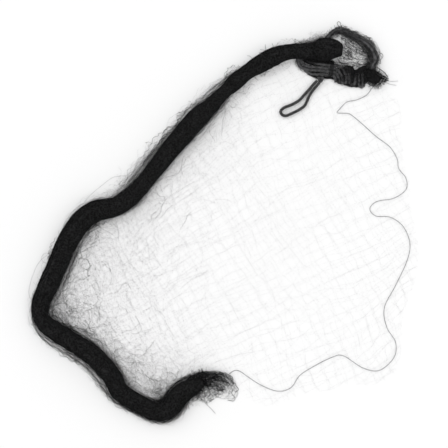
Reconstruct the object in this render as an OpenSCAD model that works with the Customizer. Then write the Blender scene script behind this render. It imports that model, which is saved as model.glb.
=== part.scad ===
// A fine mist net for catching birds, as it lies on a table: most of its mesh is gathered
// into a thick soft rope, and the rest is spread flat inside the rope's bend. The braided
// pole loops lie in a hank at the head end, and one of them hangs out on its own knot.
// Millimetres, +Z up. The origin is the middle of the footprint, on the table.

/* [Spread mesh] */
// Thickness of the spread mesh, a few threads deep
panel_t = 0.5; // [0.3:0.1:0.6]

/* [Gathered mesh] */
// Height of the gathered rope as a share of its width
gather_height = 0.8; // [0.6:0.05:0.95]
// Share of that height that is pressed flat against the table
gather_sink = 0.08; // [0.05:0.01:0.14]
// Height of the loose tufts at the two ends
tuft_height = 10; // [6:1:14]
// Height of the loose tail fan
fan_height = 6; // [4:1:8]
// Thickness of the loose mesh inside the hoop
veil_height = 2.5; // [1.5:0.5:4]

/* [Cords] */
// Diameter of the braided pole-loop cord
loop_cord_d = 3.6; // [3.2:0.1:3.6]
// Diameter of a shelf string
string_d = 0.8; // [0.6:0.1:1]
// Diameter of the small thread loops that stand out of the hoop
thread_loop_d = 1.2; // [0.8:0.1:1.4]
// Number of shelf strings that stay inside the gathered rope
inner_strings = 4; // [2:1:4]
// Turns of string that bind the hank of pole loops
whipping_turns = 4; // [3:1:4]
// Radius of the knot that the long pole loop swings on
knot_r = 3.8; // [3.2:0.2:3.8]

/* [Hidden] */

rope_sides = 16;
cord_sides = 12;
string_sides = 8;
inner_sides = 6;
gather_steps = 3;
cord_steps = 3;
string_steps = 2;
outline_steps = 3;
round_fn = 48;

net_black = [0.10, 0.10, 0.11];
net_grey = [0.32, 0.32, 0.33];
mesh_grey = [0.75, 0.75, 0.76];
cord_grey = [0.22, 0.22, 0.23];

// The gathered rope from its rounded head end to the tail: x, y and half-width
gather_route = [
    [147, 216, 2], [144, 216, 8], [136, 216, 13.5], [123, 216, 15.5], [111, 215, 12],
    [97, 214, 10], [80, 213, 9.5], [62, 208, 11.5], [44, 198, 11.5], [28, 188, 9.5],
    [12, 176, 11], [-2, 165, 11], [-16, 151, 13], [-34, 131, 13.5], [-54, 108, 13],
    [-76, 83, 13], [-97, 58, 13.5], [-116, 34, 13.5], [-137, 20, 12.5], [-160, 15, 13.5],
    [-179, 2, 14.5], [-194, -22, 14.5], [-205, -48, 14.5], [-217, -77, 14.5], [-228, -101, 13],
    [-228, -121, 12.5], [-213, -137, 15], [-190, -151, 15], [-165, -167, 15], [-145, -190, 15.5],
    [-132, -210, 14], [-109, -225, 12.5], [-85, -236, 12.5], [-67, -231, 14], [-56, -213, 13.5],
    [-36, -201, 11.5], [-14, -197, 9.5]
];
gather_path = spline(gather_route, gather_steps);

// The free edge of the spread mesh, from the tail round to the head
panel_edge = [
    [12, -204], [30, -222], [62, -230], [96, -214], [126, -210], [155, -203], [184, -203],
    [210, -190], [220, -165], [221, -130], [229, -98], [239, -68], [242, -36], [238, -6],
    [232, 22], [232, 50], [224, 74], [222, 104], [221, 132], [216, 152], [202, 172],
    [178, 186], [148, 202], [120, 212]
];

// The loose tail, with its lower lobe under the end of the rope
fan_edge = [
    [-12.6, -188], [-6, -185.5], [3, -185.5], [11, -190], [17, -199], [20, -211], [17, -220],
    [10, -224.5], [0, -222], [-12, -221], [-23, -226], [-30, -221], [-35, -214.5],
    [-22, -210.5], [-12.6, -208]
];

// The loose turn of net round the head: x, y and half-width
hoop_route = [
    [130, 236.5, 4], [136, 240, 5], [143, 240.5, 5], [151, 237.5, 5.2], [161, 232.5, 5.8],
    [171, 226, 6], [179.5, 217, 5.8], [184, 207, 5.5], [184.5, 198.5, 5]
];
veil_edge = [
    [151, 229.5], [157, 226], [165, 221.5], [172, 214], [176, 206.5], [177, 199.5],
    [160, 199.5], [144, 199.5], [144, 204], [150, 210], [151.5, 219]
];
root_edge = [[154, 197.5], [172.5, 197.5], [173.5, 188], [154, 188]];
tuft_edge = [
    [176, 196.5], [183, 197.6], [189.5, 196.5], [194, 189], [200, 181.5], [198.5, 175.5],
    [190, 171], [182, 170.5], [176.5, 175], [174.8, 186]
];

// Heights of the cords' middles: on the spread mesh, and inside the whipping
cord_z = panel_t + 0.1 + loop_cord_d / 2;
string_z = panel_t + 0.1 + string_d / 2;
whipping_t = 1.2;
whipped_z = cord_z + whipping_t + 0.2;
rise_z = (cord_z + whipped_z) / 2;

// The four strands of the hank, side by side in the whipping, then folded down beyond it
strand_pitch = 4;
whipped_x = 128;
whipped_y = 190.7;
strand_1 = [
    [104, 199.5, cord_z], [112, 197.6, cord_z], [120, 197, rise_z],
    [127.5, 196.7, whipped_z], [133.6, 196.7, whipped_z], [141, 195.6, rise_z],
    [147.4, 191.4, cord_z], [150.2, 184, cord_z], [150.8, 173.5, cord_z]
];
strand_2 = [
    [98.5, 201.3, cord_z], [95.4, 199, cord_z], [96.8, 195, cord_z], [103, 193.1, cord_z],
    [112, 192.8, cord_z], [120, 192.7, rise_z], [127.5, 192.7, whipped_z],
    [133.6, 192.7, whipped_z], [139.5, 191.4, rise_z], [144, 186.6, cord_z],
    [146.2, 180, cord_z], [146.6, 173.5, cord_z]
];
strand_3 = [
    [91.8, 202, cord_z], [90.2, 198.5, cord_z], [91.6, 193.5, cord_z], [96, 190, cord_z],
    [104, 188.9, cord_z], [112, 188.7, cord_z], [120, 188.7, rise_z],
    [127.5, 188.7, whipped_z], [133.6, 188.6, whipped_z], [138.4, 186.6, rise_z],
    [141.4, 181.5, cord_z], [142.4, 174.5, cord_z]
];
strand_4 = [
    [98, 185.7, cord_z], [105, 184.9, cord_z], [112, 184.7, cord_z], [120, 184.7, rise_z],
    [127.5, 184.7, whipped_z], [133.6, 184.5, whipped_z], [136.6, 182, rise_z],
    [138, 178, cord_z], [138.2, 175.5, cord_z]
];
bight_1 = [
    [154.9, 187, cord_z], [154.7, 180, cord_z], [155.8, 175, cord_z], [159, 172.5, cord_z],
    [162.2, 175, cord_z], [163.3, 180, cord_z], [163.1, 187, cord_z]
];
bight_2 = [
    [167.4, 187, cord_z], [167, 178, cord_z], [167.4, 172.6, cord_z], [169.5, 170, cord_z],
    [171.6, 172.6, cord_z], [172, 178, cord_z], [171.7, 187, cord_z]
];

// The long pole loop lies above the spread mesh and swings on its knot
swing_gap = 0.35;
knot = [119, 179, panel_t + swing_gap + knot_r];
loop_z = panel_t + swing_gap + loop_cord_d / 2;
loop_route = [
    [114.7, 177.4, 4.4], [110.5, 173, 3.8], [105, 166.6, 3.1], [98.5, 159.5, loop_z],
    [92.5, 153, loop_z], [83, 147.5, loop_z], [74, 144, loop_z], [69.6, 139.8, loop_z],
    [71, 135.4, loop_z], [76, 133.8, loop_z], [84, 137, loop_z], [92, 141, loop_z],
    [98.8, 145.8, loop_z], [101.8, 151, loop_z], [104.8, 158, loop_z], [109, 164.6, 3.1],
    [113.5, 170, 3.8], [117.5, 174.6, 4.4]
];

// The shelf string that has been drawn out along the spread mesh, from head to tail
edge_route = [
    for (p = [
        [183, 168], [177, 160], [165, 154], [152, 151], [144, 143], [140, 138], [147, 137],
        [156, 136], [170, 125], [189, 108], [206, 95], [215, 80], [217, 68], [226, 56],
        [226, 42], [211, 31], [190, 27], [181, 18], [188, 9], [207, 7], [223, -5],
        [231, -26], [227, -48], [213, -78], [199, -106], [202, -130], [213, -149],
        [211, -168], [193, -184], [172, -181], [148, -166], [133, -168], [104, -183],
        [92, -192], [82, -206], [65, -210], [44, -202], [26, -190], [17, -184], [12, -187]
    ]) [p.x, p.y, string_z]
];

// Short ends and small loops of thread that stand out of the net
loop_rise_z = panel_t + 2.5;
apex_route = [
    [144.6, 246.6, loop_rise_z], [144, 249.4, loop_rise_z], [141.8, 251.2, loop_rise_z],
    [139.8, 249.2, loop_rise_z], [141, 246.6, loop_rise_z]
];
side_route = [
    [191, 202, loop_rise_z], [195.4, 205, loop_rise_z], [197, 208.8, loop_rise_z],
    [194.6, 211.6, loop_rise_z], [192, 209, loop_rise_z], [191, 205.6, loop_rise_z]
];
tuft_end_routes = [
    [[200.5, 179.5, string_z], [207, 177, string_z], [216, 177.5, string_z]],
    [[199.6, 176, string_z], [206, 173.4, string_z], [214, 172, string_z]]
];
tail_end_route = [[-23, -227, string_z], [-18, -231.5, string_z], [-12, -238, string_z]];

function unit(v) = v / norm(v);

// A point between p[i] and p[i + 1] on the smooth curve through all of p
function curve_point(p, i, u) = let (
    a = p[max(i - 1, 0)],
    b = p[i],
    c = p[i + 1],
    d = p[min(i + 2, len(p) - 1)]
) b + 0.5 * u * ((c - a) + u * ((2 * a - 5 * b + 4 * c - d) + u * (3 * b - 3 * c + d - a)));

// The smooth curve through p, with n steps between neighbouring points
function spline(p, n) = concat(
    [for (i = [0 : len(p) - 2], k = [0 : n - 1]) curve_point(p, i, k / n)],
    [p[len(p) - 1]]
);

function direction(path, i) = unit(path[min(i + 1, len(path) - 1)] - path[max(i - 1, 0)]);
function flat(v) = [v.x, v.y, 0];

// Triangles over n rings of points, with both ends closed
function skin(n, sides) = concat(
    [[for (k = [0 : sides - 1]) k]],
    [[for (k = [sides - 1 : -1 : 0]) (n - 1) * sides + k]],
    [
        for (i = [0 : n - 2], k = [0 : sides - 1], half = [0, 1]) let (
            a = i * sides + k,
            b = i * sides + (k + 1) % sides
        ) half == 0 ? [a, a + sides, b + sides] : [a, b + sides, b]
    ]
);

// A round cord along a route
module cord(route, d, sides, steps) {
    path = spline(route, steps);
    points = [
        for (i = [0 : len(path) - 1]) let (
            along = direction(path, i),
            side = unit(cross([0, 0, 1], along)),
            up = cross(along, side)
        ) for (k = [0 : sides - 1]) let (a = 360 * k / sides)
            path[i] + d / 2 * (side * cos(a) + up * sin(a))
    ];
    polyhedron(points, skin(len(path), sides));
}

// A soft rope that lies on the spread mesh, pressed flat below: path holds x, y, half-width
module soft_rope(path, first, last) {
    points = [
        for (i = [first : last]) let (
            p = path[i],
            along = unit(flat(direction([for (q = path) flat(q)], i))),
            side = cross([0, 0, 1], along),
            high = 2 * p[2] * gather_height
        ) for (k = [0 : rope_sides - 1]) let (
            a = 360 * k / rope_sides,
            z = max(0, high * ((1 + sin(a)) / 2 - gather_sink))
        ) flat(p) + side * p[2] * cos(a) + [0, 0, panel_t + z]
    ];
    polyhedron(points, skin(last - first + 1, rope_sides));
}

// A stretch of the gathered rope between two points of its route
module gather(first, last) {
    color(net_black) soft_rope(gather_path, first * gather_steps, last * gather_steps);
}

// A loose tuft with a rounded outline
module tuft(edge, height) {
    translate([0, 0, panel_t]) linear_extrude(height) polygon(spline(edge, outline_steps));
}

module spread_panel() {
    rope_side = [
        for (i = [4 * gather_steps : len(gather_path) - 1]) [gather_path[i].x, gather_path[i].y]
    ];
    color(mesh_grey) linear_extrude(panel_t)
        polygon(concat(rope_side, spline(panel_edge, outline_steps)));
}

module tail_fan() {
    color(net_black) tuft(fan_edge, fan_height);
}

module hoop() {
    hoop_path = spline(hoop_route, gather_steps);
    color(net_grey) soft_rope(hoop_path, 0, len(hoop_path) - 1);
}

module veil() {
    color(mesh_grey) tuft(veil_edge, veil_height);
}

module tuft_root() {
    color(net_black) tuft(root_edge, tuft_height);
}

module end_tuft() {
    color(net_black) tuft(tuft_edge, tuft_height);
}

// The strings that stay inside the gathered rope, side by side along its middle
module shelf_strings() {
    first = 2;
    last = len(gather_route) - 2;
    for (s = [0 : inner_strings - 1]) {
        shift = 2.4 * (s - (inner_strings - 1) / 2);
        route = [
            for (i = [first : last]) let (
                p = gather_route[i],
                along = flat(gather_route[i + 1] - gather_route[i - 1]),
                side = unit(cross([0, 0, 1], along))
            ) flat(p) + side * shift + [0, 0, panel_t + p[2] * gather_height]
        ];
        color(cord_grey) cord(route, string_d, inner_sides, 1);
    }
}

module loop_cord(route) {
    color(cord_grey) cord(route, loop_cord_d, cord_sides, cord_steps);
}

module thin_string(route) {
    color(cord_grey) cord(route, string_d, string_sides, string_steps);
}

module thread_loop(route) {
    color(net_grey) cord(route, thread_loop_d, string_sides, cord_steps);
}

// A flat-sided ring with round ends: wide across Y, high across Z once it stands up
module stadium(wide, high) {
    square([wide - high, high], center = true);
    for (x = [-1, 1]) translate([x * (wide - high) / 2, 0]) circle(d = high, $fn = round_fn);
}

// The turns of string round the hank, one ring beside the other
module hank_whipping() {
    turn_w = 1.1;
    turn_pitch = 1.3;
    slack = 0.3;
    inner_wide = 3 * strand_pitch + loop_cord_d + slack;
    inner_high = loop_cord_d + slack;
    for (i = [0 : whipping_turns - 1])
        color(cord_grey)
            translate([whipped_x + i * turn_pitch, whipped_y, whipped_z])
                rotate([90, 0, 90])
                    linear_extrude(turn_w)
                        difference() {
                            stadium(inner_wide + 2 * whipping_t, inner_high + 2 * whipping_t);
                            stadium(inner_wide, inner_high);
                        }
}

module loop_knot() {
    color(cord_grey) translate(knot) sphere(r = knot_r, $fn = round_fn);
}

spread_panel();
gather(0, 4);  // gather_head
gather(4, 8);  // gather_neck
gather(8, 12);  // gather_shoulder
gather(12, 17);  // gather_back
gather(17, 20);  // gather_waist
gather(20, 24);  // gather_flank
gather(24, 27);  // gather_heel
gather(27, 31);  // gather_foot
gather(31, 36);  // gather_toe
tail_fan();
thin_string(tail_end_route);  // tail_end
shelf_strings();
thin_string(edge_route);  // edge_string
hoop();
veil();
thread_loop(apex_route);  // apex_loop
thread_loop(side_route);  // side_loop
tuft_root();
end_tuft();
for (route = tuft_end_routes) thin_string(route);  // tuft_ends
loop_cord(strand_1);  // hank_strand_1
loop_cord(strand_2);  // hank_strand_2
loop_cord(strand_3);  // hank_strand_3
loop_cord(strand_4);  // hank_strand_4
hank_whipping();
loop_cord(bight_1);  // folded_loop_1
loop_cord(bight_2);  // folded_loop_2
loop_knot();
loop_cord(loop_route);  // pole_loop
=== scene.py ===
"""The looks of a fine mist net: threads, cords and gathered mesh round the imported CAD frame.

Routes and sizes are in millimetres, as in the CAD source, and turn into metres in new_mesh().
"""
import math

import bpy
import numpy as np
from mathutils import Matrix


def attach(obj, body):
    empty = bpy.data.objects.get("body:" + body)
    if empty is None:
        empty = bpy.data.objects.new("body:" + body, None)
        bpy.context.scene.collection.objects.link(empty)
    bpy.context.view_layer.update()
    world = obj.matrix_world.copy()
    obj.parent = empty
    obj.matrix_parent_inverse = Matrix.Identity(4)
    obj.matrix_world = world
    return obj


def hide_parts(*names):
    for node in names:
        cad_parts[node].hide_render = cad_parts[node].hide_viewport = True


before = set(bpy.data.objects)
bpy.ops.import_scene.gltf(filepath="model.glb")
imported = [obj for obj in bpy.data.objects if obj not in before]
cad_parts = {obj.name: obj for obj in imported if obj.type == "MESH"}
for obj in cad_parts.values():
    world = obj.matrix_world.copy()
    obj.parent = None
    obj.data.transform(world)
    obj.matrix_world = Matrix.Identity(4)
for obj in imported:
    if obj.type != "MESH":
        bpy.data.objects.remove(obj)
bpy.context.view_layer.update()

MM = 0.001
PI = math.pi

# ---- Sizes that the CAD source sets, in millimetres ----

PANEL_T = 0.5
ROPE_HEIGHT = 0.8
ROPE_SINK = 0.08
CORD_D = 3.6
STRING_D = 0.8
LOOP_THREAD_D = 1.2
CORD_Z = 2.4
WHIPPED_Z = 3.8
RISE_Z = 3.1
LOOP_Z = 2.65
STRING_Z = 1.0
THREAD_LOOP_Z = 3.0
KNOT = (119, 179, 4.65)

# The side of one square of the net
MESH_CELL = 15

# The gathered rope from head to tail: x, y, half-width, and how much of the half-width is
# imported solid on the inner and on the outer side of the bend; the rest is loose threads.
ROPE = np.array([
    (147, 218, 2.8, 0.95, 0.95), (145, 218, 7, 0.95, 0.95), (140, 217.2, 10.8, 0.95, 0.95),
    (123, 216, 15, 0.96, 0.88), (111, 214.5, 10.6, 0.96, 0.93), (97, 214, 9.6, 0.96, 0.96),
    (80, 213, 9.5, 0.96, 0.97), (62, 208, 11.5, 0.95, 0.90), (44, 198, 11.5, 0.96, 0.92),
    (28, 188, 9.5, 0.95, 0.93), (12, 176, 11, 0.95, 0.80), (-2, 165, 11, 0.90, 0.48),
    (-16, 151, 13, 0.85, 0.50), (-34, 131, 13.5, 0.94, 0.86), (-54, 108, 13, 0.92, 0.93),
    (-76, 83, 13, 0.95, 0.74), (-97, 58, 13.5, 0.90, 0.56), (-116, 34, 13.5, 0.80, 0.80),
    (-137, 20, 12.5, 0.93, 0.92), (-160, 15, 13.5, 0.92, 0.92), (-179, 2, 14.5, 0.88, 0.84),
    (-194, -22, 14.5, 0.80, 0.91), (-205, -48, 14.5, 0.74, 0.91), (-217, -77, 14.5, 0.68, 0.97),
    (-228, -101, 13, 0.72, 0.93), (-228, -121, 12.5, 0.88, 0.66), (-213, -137, 15, 0.96, 0.50),
    (-190, -151, 15, 0.94, 0.52), (-165, -167, 15, 0.96, 0.60), (-145, -190, 15.5, 0.95, 0.48),
    (-132, -210, 14, 0.90, 0.66), (-109, -225, 12.5, 0.93, 0.72), (-85, -236, 12.5, 0.92, 0.74),
    (-67, -231, 14, 0.90, 0.72), (-56, -213, 13.5, 0.84, 0.92), (-36, -201, 11.5, 0.68, 0.82),
    (-27, -199.5, 8, 0.4, 0.4),
], float)
ROPE_LAST = len(ROPE) - 1

# The stretches of the rope, one for each CAD node: name, first and last point of the route
STRETCHES = [
    ("head", 0, 4), ("neck", 4, 8), ("shoulder", 8, 12), ("back", 12, 17), ("waist", 17, 20),
    ("flank", 20, 24), ("heel", 24, 27), ("foot", 27, 31), ("toe", 31, 36),
]

# The free edge of the spread net, from the tail round to the head of the rope
PANEL_EDGE = [
    (12, -204), (30, -222), (62, -230), (96, -214), (126, -210), (155, -203), (184, -203),
    (210, -190), (220, -165), (221, -130), (229, -98), (239, -68), (242, -36), (238, -6),
    (232, 22), (232, 50), (224, 74), (222, 104), (221, 132), (216, 152), (202, 172),
    (178, 186), (148, 202), (120, 212),
]
# The loose turn of net round the head, with the same five numbers as the rope
HOOP = np.array([
    (127, 230.5, 3.5, 0.3, 0.3), (131, 234.5, 3.4, 0.3, 0.3), (135.5, 238.6, 3.4, 0.3, 0.3),
    (141, 241, 3.2, 0.3, 0.3), (146, 240.5, 3.2, 0.2, 0.3), (151, 238, 3.4, 0.2, 0.2),
    (158, 234, 4.2, 0.1, 0.2), (166, 230, 4.8, 0.1, 0.2), (174, 224.5, 5.4, 0.1, 0.2),
    (181, 218, 5.6, 0.2, 0.2), (185, 211, 5.4, 0.3, 0.2), (186.5, 205, 6.2, 0.4, 0.2),
    (184.5, 198, 5.4, 0.5, 0.4), (182, 191, 6, 0.6, 0.5),
], float)
# The outlines of the flat and heaped nets near the head: the thin one across the hoop and the
# folds on it, the knotted heap, the low heap under the folded cords, and the end tuft
VEIL_EDGE = [
    (144.5, 233.5), (153, 230), (161, 225), (169, 219), (176, 213), (179, 203), (178, 193),
    (160, 193), (146, 196), (136, 203), (142, 207.5), (145, 217), (145, 226),
]
VEIL_FOLDS = [
    [(145, 217), (151, 212.5), (157, 208.5), (165, 205.5), (172, 203.5), (179, 203)],
    [(147, 230), (153, 227), (160, 222), (169, 216.5), (179, 213.5)],
    [(178, 215), (178.5, 210), (178.5, 204), (178, 195)],
    [(150, 223), (156, 217), (164, 212), (174, 208), (180, 207)],
    [(142, 199), (150, 198.5), (158, 199), (168, 197), (178, 198)],
]
ROOT_EDGE = [
    (141, 193), (149, 196.5), (156, 196.5), (160, 194), (162, 191), (168, 193), (175, 197),
    (178, 188), (174, 177), (166, 179), (158, 184), (152, 182), (147, 187),
]
LOW_EDGE = [
    (140, 188), (177, 190), (178, 176), (174, 172.5), (169, 169.5), (161, 169), (154, 170.5),
    (147, 172), (141, 174.5), (138, 179),
]
TUFT_EDGE = [
    (173, 197), (182, 198), (186, 193), (190, 187.5), (196, 184.5), (201, 180.5), (198, 177),
    (192, 172), (187, 170.5), (182, 172.5), (178, 174.5), (172, 175), (169, 184),
]

# The routes of the cords, the strings and the ends of thread
POLE_LOOP = [
    (114.7, 177.4, 4.4), (110.5, 173, 3.8), (105, 166.6, 3.1), (98.5, 159.5, LOOP_Z),
    (92.5, 153, LOOP_Z), (83, 147.5, LOOP_Z), (74, 144, LOOP_Z), (69.6, 139.8, LOOP_Z),
    (71, 135.4, LOOP_Z), (76, 133.8, LOOP_Z), (84, 137, LOOP_Z), (92, 141, LOOP_Z),
    (98.8, 145.8, LOOP_Z), (101.8, 151, LOOP_Z), (104.8, 158, LOOP_Z), (109, 164.6, 3.1),
    (113.5, 170, 3.8), (117.5, 174.6, 4.4),
]
HANK_CORDS = [
    [
        (99, 206.5, CORD_Z), (104, 202.3, CORD_Z), (112, 199.4, CORD_Z), (120, 198, RISE_Z),
        (127.5, 196.7, WHIPPED_Z), (133.6, 196.7, WHIPPED_Z), (141, 195.6, RISE_Z),
        (147.4, 191.4, CORD_Z), (150.2, 184, CORD_Z), (150.8, 173.5, CORD_Z),
    ], [
        (97.5, 207, CORD_Z), (95.2, 202.5, CORD_Z), (97, 198.4, CORD_Z), (103, 195.6, CORD_Z),
        (112, 194.4, CORD_Z), (120, 193.9, RISE_Z), (127.5, 192.9, WHIPPED_Z),
        (133.6, 192.7, WHIPPED_Z), (139.5, 191.4, RISE_Z), (144, 186.6, CORD_Z),
        (146.2, 180, CORD_Z), (146.6, 173.5, CORD_Z),
    ], [
        (92.6, 208, CORD_Z), (91.3, 202.5, CORD_Z), (92.6, 197.6, CORD_Z), (97, 193.4, CORD_Z),
        (104, 191, CORD_Z), (112, 190.3, CORD_Z), (120, 189.9, RISE_Z),
        (127.5, 188.7, WHIPPED_Z), (133.6, 188.6, WHIPPED_Z), (138.4, 186.6, RISE_Z),
        (141.4, 181.5, CORD_Z), (142.4, 174.5, CORD_Z),
    ], [
        (99, 191, 1.9), (105, 187.2, 1.9), (112, 185.8, CORD_Z), (120, 185.4, RISE_Z),
        (127.5, 184.7, WHIPPED_Z), (133.6, 184.5, WHIPPED_Z), (136.6, 182, RISE_Z),
        (138, 178, CORD_Z), (138.2, 175.5, CORD_Z),
    ],
]
FOLDED_LOOPS = [
    [
        (154.9, 187, CORD_Z), (154.7, 180, CORD_Z), (155.8, 175, CORD_Z), (159, 172.5, CORD_Z),
        (162.2, 175, CORD_Z), (163.3, 180, CORD_Z), (163.1, 187, CORD_Z),
    ], [
        (167.4, 187, CORD_Z), (167, 178, CORD_Z), (167.4, 172.6, CORD_Z), (169.5, 170, CORD_Z),
        (171.6, 172.6, CORD_Z), (172, 178, CORD_Z), (171.7, 187, CORD_Z),
    ],
]
EDGE_STRING = [(x, y, STRING_Z) for x, y in [
    (183, 168), (177, 160), (165, 154), (152, 151), (144, 143), (140, 138), (147, 137),
    (156, 136), (170, 125), (189, 108), (206, 95), (215, 80), (217, 68), (226, 56),
    (226, 42), (211, 31), (190, 27), (181, 18), (188, 9), (207, 7), (223, -5),
    (231, -26), (227, -48), (213, -78), (199, -106), (202, -130), (213, -149),
    (211, -168), (193, -184), (172, -181), (148, -166), (133, -168), (104, -183),
    (92, -192), (82, -206), (65, -210), (44, -202), (27, -191), (20, -186), (14, -184),
    (9.5, -185.5), (5, -189),
]]
APEX_THREAD = [
    (146, 243, 2), (144.6, 246.6, THREAD_LOOP_Z), (144, 249.4, THREAD_LOOP_Z),
    (141.8, 251.2, THREAD_LOOP_Z), (139.8, 249.2, THREAD_LOOP_Z), (141, 246.6, THREAD_LOOP_Z),
    (142, 243, 2),
]
SIDE_THREAD = [
    (188, 200, 2), (191, 202, THREAD_LOOP_Z), (195.4, 205, THREAD_LOOP_Z),
    (197, 208.8, THREAD_LOOP_Z), (194.6, 211.6, THREAD_LOOP_Z), (192, 209, THREAD_LOOP_Z),
    (191, 205.6, THREAD_LOOP_Z), (187, 204, 2),
]
TUFT_THREADS = [
    [(196, 180, 2), (200.5, 179.5, STRING_Z), (207, 177, STRING_Z), (216, 177.5, STRING_Z)],
    [(195, 177, 2), (199.6, 176, STRING_Z), (206, 173.4, STRING_Z), (214, 172, STRING_Z)],
]
TAIL_THREAD = [
    (-27, -222, 1.5), (-23, -227, STRING_Z), (-18, -231.5, STRING_Z), (-12, -238, STRING_Z),
]


# ---- Curves ----

def along(points, u):
    """Places u on the smooth curve through points, where u counts them from 0."""
    p = np.asarray(points, float)
    u = np.asarray(u, float)
    last = len(p) - 1
    i = np.clip(np.floor(u).astype(int), 0, last - 1)
    t = (u - i)[..., None]
    a, b, c, d = p[np.maximum(i - 1, 0)], p[i], p[i + 1], p[np.minimum(i + 2, last)]
    return b + 0.5 * t * ((c - a) + t * ((2 * a - 5 * b + 4 * c - d) + t * (3 * b - 3 * c + d - a)))


def lengths(line):
    """The distance along a line up to each of its points."""
    return np.concatenate([[0], np.cumsum(np.linalg.norm(np.diff(line, axis=0), axis=1))])


def evenly(points, step):
    """The smooth curve through points, as points about step apart."""
    fine = along(points, np.linspace(0, len(points) - 1, 60 * len(points)))
    s = lengths(fine)
    at = np.linspace(0, s[-1], max(3, int(s[-1] / step) + 1))
    return np.stack([np.interp(at, s, column) for column in fine.T], axis=1)


def unit(v):
    """The same vectors, each 1 long."""
    return v / np.maximum(np.linalg.norm(v, axis=-1, keepdims=True), 1e-9)


def axes(lines):
    """Unit vectors ahead, to the side and up at each point of a line or a stack of lines."""
    ahead = unit(np.gradient(lines, axis=-2))
    side = unit(np.cross((0.02, 0.01, 1), ahead))
    return ahead, side, np.cross(ahead, side)


def inside(points, outline):
    """True for each point (x, y) that lies inside the outline."""
    x, y = points[..., 0], points[..., 1]
    found = np.zeros(x.shape, bool)
    for (x1, y1), (x2, y2) in zip(outline, np.roll(outline, -1, axis=0)):
        if y1 != y2:
            crosses = (y1 > y) != (y2 > y)
            found ^= crosses & (x < x1 + (y - y1) * (x2 - x1) / (y2 - y1))
    return found


def smooth_outline(points):
    """The smooth closed curve through points, six points to each."""
    closed = list(points[-1:]) + list(points) + list(points[:2])
    return along(closed, np.linspace(1, len(points) + 1, 6 * len(points), endpoint=False))


# ---- Meshes: every shape is a stack of rings, (lines, rings, points on a ring, 3) ----

def tubes(lines, radius, sides=3):
    """A tube round each line. radius is one number, or one for each point."""
    lines = np.asarray(lines, float)
    if lines.ndim == 2:
        lines = lines[None]
    _, side, up = axes(lines)
    turn = 2 * PI * np.arange(sides) / sides
    ring = side[:, :, None] * np.cos(turn)[:, None] + up[:, :, None] * np.sin(turn)[:, None]
    reach = np.broadcast_to(radius, lines.shape[:2])
    return lines[:, :, None] + ring * reach[..., None, None]


def hairs(lines, radius, seed, thick=3.6):
    """Tubes round loose threads, of which one in eight is a thick one."""
    chosen = np.random.default_rng(seed).uniform(size=(len(lines), 1)) < 1 / 8
    return tubes(lines, radius * np.where(chosen, thick, 1))


def ring_faces(rings, first):
    """Corner indices of the side faces and of the two end faces of each stack of rings."""
    count, n, k = rings.shape[:3]
    index = first + np.arange(count * n * k).reshape(count, n, k)
    here, there = index[:, :-1], index[:, 1:]
    walls = np.stack([here, np.roll(here, -1, 2), np.roll(there, -1, 2), there], -1)
    return walls.reshape(-1, 4), np.concatenate([index[:, 0, ::-1], index[:, -1]])


def ring_map(rings, first, cells):
    """Texture places for the same faces: each line of rings has a cell of its own."""
    count, n, k = rings.shape[:3]
    cell = first + np.arange(count)
    corner = np.stack([cell % cells, cell // cells], -1)[:, None, None, None]
    i, j = np.meshgrid(np.arange(n - 1), np.arange(k), indexing="ij")
    square = np.stack([
        np.stack([(j + dj) / k, (i + di) / (n - 1)], -1)
        for di, dj in ((0, 0), (0, 1), (1, 1), (1, 0))
    ], -2)
    walls = (corner + 0.05 + 0.9 * square[None]) / cells
    ends = np.broadcast_to((corner[:, 0, 0] + 0.5) / cells, (count, k, 2))
    return walls.reshape(-1, 2), np.concatenate([ends, ends]).reshape(-1, 2)


def new_mesh(name, stacks, material, body="net", stands_for=()):
    """One mesh object of all these stacks of rings, which rides on a body."""
    cells = math.ceil(math.sqrt(sum(len(rings) for rings in stacks)))
    corners, sizes, smooth, places = [], [], [], []
    first_point = first_line = 0
    for rings in stacks:
        k = rings.shape[2]
        walls, ends = ring_faces(rings, first_point)
        corners += [walls.ravel(), ends.ravel()]
        sizes += [np.full(len(walls), 4), np.full(len(ends), k)]
        smooth += [np.ones(len(walls), bool), np.zeros(len(ends), bool)]
        places += ring_map(rings, first_line, cells)
        first_point += rings[..., 0].size
        first_line += len(rings)
    corners, sizes = np.concatenate(corners), np.concatenate(sizes)
    points = np.concatenate([rings.reshape(-1, 3) for rings in stacks]) * MM
    mesh = bpy.data.meshes.new(name)
    mesh.vertices.add(len(points))
    mesh.vertices.foreach_set("co", points.astype(np.float32).ravel())
    mesh.loops.add(len(corners))
    mesh.loops.foreach_set("vertex_index", corners.astype(np.int32))
    mesh.polygons.add(len(sizes))
    starts = np.concatenate([[0], np.cumsum(sizes)[:-1]])
    mesh.polygons.foreach_set("loop_start", starts.astype(np.int32))
    mesh.polygons.foreach_set("use_smooth", np.concatenate(smooth))
    mesh.update(calc_edges=True)
    mesh.validate()
    texture_map = mesh.uv_layers.new(name="OFBake")
    texture_map.data.foreach_set("uv", np.concatenate(places).astype(np.float32).ravel())
    mesh.materials.append(material)
    piece = bpy.data.objects.new(name, mesh)
    bpy.context.scene.collection.objects.link(piece)
    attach(piece, body)
    if stands_for:
        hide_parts(*stands_for)
    return piece


# ---- Camera, lights and floor ----

def set_inputs(node, values):
    """Set the inputs of a shader node, given by name."""
    for name, value in values.items():
        node.inputs[name].default_value = value


def make_camera():
    """Straight above the net, 560 mm across at the floor."""
    height, width, off_centre = 1.5, 0.56, -0.00125
    camera = bpy.data.cameras.new("camera")
    camera.sensor_width = 36
    camera.lens = camera.sensor_width * height / width
    holder = bpy.data.objects.new("camera", camera)
    holder.location = (off_centre, off_centre, height)
    bpy.context.scene.collection.objects.link(holder)
    bpy.context.scene.camera = holder


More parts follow.
